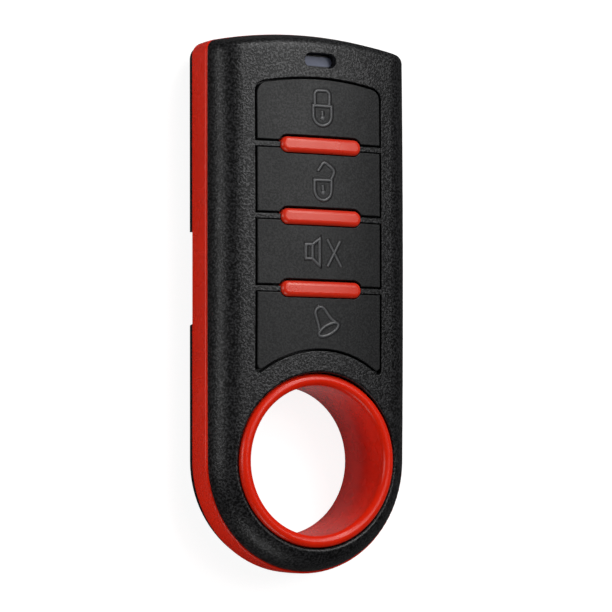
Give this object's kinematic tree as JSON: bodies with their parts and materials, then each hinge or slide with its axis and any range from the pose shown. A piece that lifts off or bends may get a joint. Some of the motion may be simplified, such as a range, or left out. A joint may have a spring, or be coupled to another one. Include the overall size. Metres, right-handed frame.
{
  "type": "learning remote control",
  "caption": "Key-fob alarm remote: crowned black cover with push keys and red divider bars, red middle band that also lines a finger ring at the round end",
  "frame": {"origin": "middle of the footprint on the flat back face, with the remote lying on its back", "axes": "+X across the body, +Y along it towards the indicator end and away from the ring, +Z out of the key face"},
  "size_m": [0.0342, 0.0818, 0.0137],
  "materials": {
    "black_cover": "fine grain",
    "red_frame": "semi gloss",
    "black_key": "satin",
    "red_bar": "gloss",
    "smoked_lens": "clear",
    "green_board": "lacquered",
    "switch_plastic": "moulded",
    "switch_steel": "tinned",
    "lamp": "clear",
    "chip_plastic": "moulded",
    "can_steel": "tinned",
    "ceramic": "fired",
    "wire": "tinned",
    "cell_steel": "brushed",
    "contact_steel": "sprung",
    "screw_steel": "plated"
  },
  "bodies": {
    "housing": {"front_cover": "black_cover", "rear_cover": "black_cover", "middle_frame": "red_frame", "upper_divider_bar": "red_bar", "middle_divider_bar": "red_bar", "lower_divider_bar": "red_bar", "indicator_lens": "smoked_lens", "circuit_board": "green_board", "lock_switch_body": "switch_plastic", "unlock_switch_body": "switch_plastic", "mute_switch_body": "switch_plastic", "bell_switch_body": "switch_plastic", "lock_switch_cover": "switch_steel", "unlock_switch_cover": "switch_steel", "mute_switch_cover": "switch_steel", "bell_switch_cover": "switch_steel", "indicator_lamp": "lamp", "code_chip": "chip_plastic", "radio_resonator": "can_steel", "timing_crystal": "can_steel", "chip_passives": "ceramic", "loop_antenna": "wire", "coin_cell": "cell_steel", "positive_contact": "contact_steel", "negative_contact": "contact_steel", "cover_screws": "screw_steel"},
    "lock_key_body": {"lock_key": "black_key", "lock_switch_plunger": "switch_plastic"},
    "unlock_key_body": {"unlock_key": "black_key", "unlock_switch_plunger": "switch_plastic"},
    "mute_key_body": {"mute_key": "black_key", "mute_switch_plunger": "switch_plastic"},
    "bell_key_body": {"bell_key": "black_key", "bell_switch_plunger": "switch_plastic"}
  },
  "joints": [
    {"name": "lock_press", "type": "slide", "parent": "housing", "child": "lock_key_body", "axis": [0, 0, -1], "range_m": [0, 0.0004], "stiffness_N_per_m": 3000},
    {"name": "unlock_press", "type": "slide", "parent": "housing", "child": "unlock_key_body", "axis": [0, 0, -1], "range_m": [0, 0.0004], "stiffness_N_per_m": 3000},
    {"name": "mute_press", "type": "slide", "parent": "housing", "child": "mute_key_body", "axis": [0, 0, -1], "range_m": [0, 0.0004], "stiffness_N_per_m": 3000},
    {"name": "bell_press", "type": "slide", "parent": "housing", "child": "bell_key_body", "axis": [0, 0, -1], "range_m": [0, 0.0004], "stiffness_N_per_m": 3000}
  ]
}
